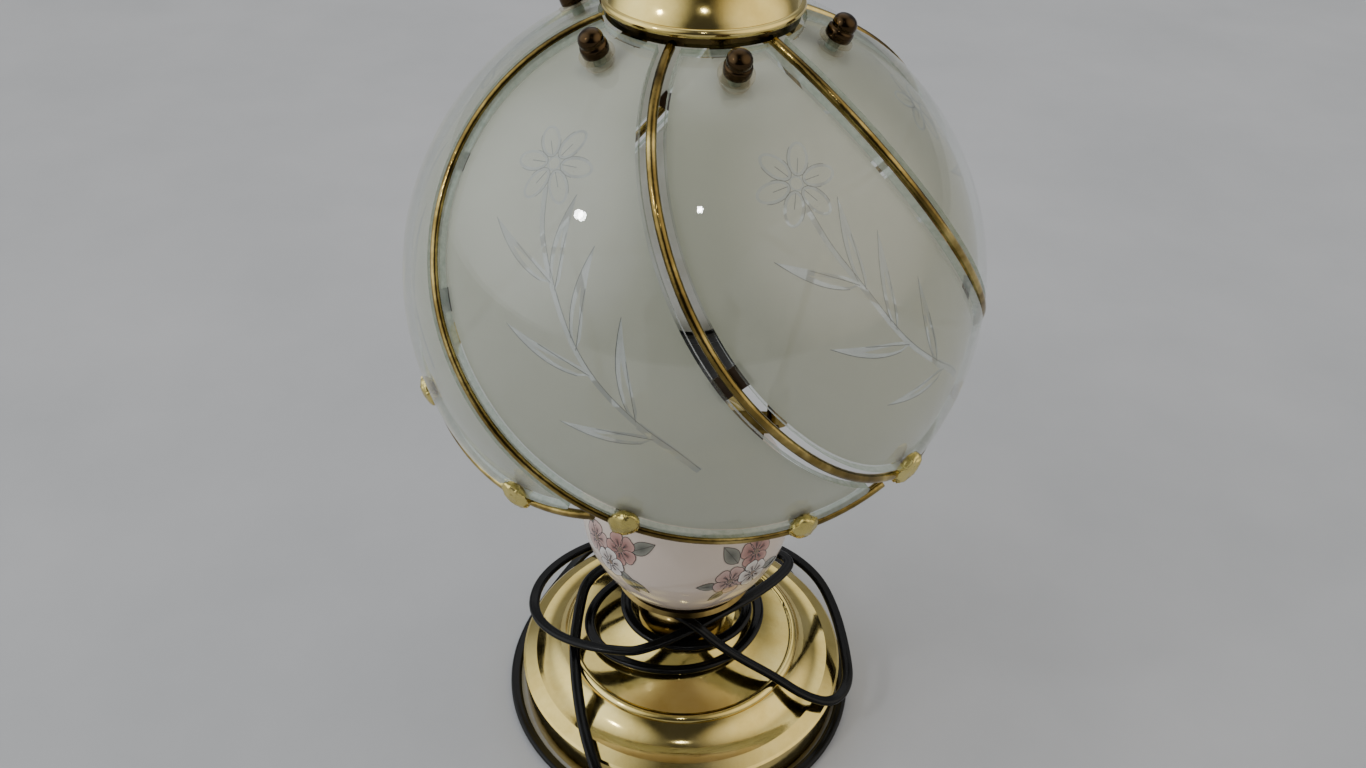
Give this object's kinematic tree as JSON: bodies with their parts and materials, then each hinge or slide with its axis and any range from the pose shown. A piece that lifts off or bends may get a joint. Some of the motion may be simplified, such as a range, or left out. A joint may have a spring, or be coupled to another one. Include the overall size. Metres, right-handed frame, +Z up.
{
  "type": "touch lamp",
  "caption": "Touch lamp with a stepped brass base, an egg-shaped ceramic body and a swirled globe shade of frosted glass petals between brass wire ribs.",
  "frame": {"origin": "middle of the underside of the base, on the table", "axes": "+Z up along the lamp's axis, -Y towards the front of the picture, +X to its right"},
  "size_m": [0.22, 0.235, 0.3832],
  "materials": {
    "polished_brass": "mirror-polished lacquered brass",
    "rib_brass": "slightly aged brass",
    "clip_brass": "pressed sheet brass",
    "dark_brass": "dark bronzed brass",
    "zinc_steel": "zinc-plated steel",
    "felt": "dark felt",
    "cast_weight": "rough casting",
    "module_plastic": "matt moulded plastic",
    "cord_black": "satin black flexible sheath",
    "plug_black": "satin moulded plastic",
    "plug_blade": "plain brass",
    "ceramic": "glossy pale glazed ceramic with blossom decals",
    "frosted_glass": "frosted glass with a clear border and a clear flower",
    "bulb_glass": "pearl glass",
    "washer_clear": "pale translucent plastic"
  },
  "bodies": {
    "stand": {"base_pan": "polished_brass", "felt_pad": "felt", "base_weight": "cast_weight", "touch_module": "module_plastic", "supply_lead": "cord_black", "lamp_wire": "cord_black", "cord_bushing": "plug_black", "lamp_pipe": "zinc_steel", "pipe_washer": "zinc_steel", "pipe_nut": "zinc_steel", "neck_spool": "polished_brass", "lower_vase_cap": "polished_brass", "ceramic_body": "ceramic", "upper_vase_cap": "polished_brass", "harp_saddle": "rib_brass", "harp_sleeves": "rib_brass", "harp_wire": "rib_brass", "harp_stud": "rib_brass", "socket_cap": "rib_brass", "socket_shell": "module_plastic", "socket_block": "module_plastic", "socket_screw_shell": "rib_brass", "socket_contact": "rib_brass", "cord_lead": "cord_black", "cord_winding": "cord_black", "cord_tail": "cord_black", "plug_body": "plug_black", "plug_blades": "plug_blade"},
    "shade": {"crown_cap": "polished_brass", "petal_carrier": "rib_brass", "petal_screws": "zinc_steel", "petal_pads": "washer_clear", "petal_washers": "washer_clear", "petal_nuts": "dark_brass", "glass_petal_1": "frosted_glass", "glass_petal_2": "frosted_glass", "glass_petal_3": "frosted_glass", "glass_petal_4": "frosted_glass", "glass_petal_5": "frosted_glass", "glass_petal_6": "frosted_glass", "rib_1": "rib_brass", "rib_2": "rib_brass", "rib_3": "rib_brass", "rib_4": "rib_brass", "rib_5": "rib_brass", "rib_6": "rib_brass", "rib_clips_1": "clip_brass", "rib_clips_2": "clip_brass", "rib_clips_3": "clip_brass", "rib_clips_4": "clip_brass", "rib_clips_5": "clip_brass", "rib_clips_6": "clip_brass"},
    "bulb": {"bulb_glass": "bulb_glass", "bulb_base": "zinc_steel"},
    "finial": {"finial": "polished_brass"}
  },
  "joints": [
    {"name": "shade_turn", "type": "hinge", "parent": "stand", "child": "shade", "pos_m": [0, 0, 0.34], "axis": [0, 0, 1], "continuous": true},
    {"name": "bulb_turn", "type": "hinge", "parent": "stand", "child": "bulb", "pos_m": [0, 0, 0.2], "axis": [0, 0, 1], "continuous": true},
    {"name": "finial_turn", "type": "hinge", "parent": "stand", "child": "finial", "pos_m": [0, 0, 0.37], "axis": [0, 0, 1], "continuous": true}
  ]
}
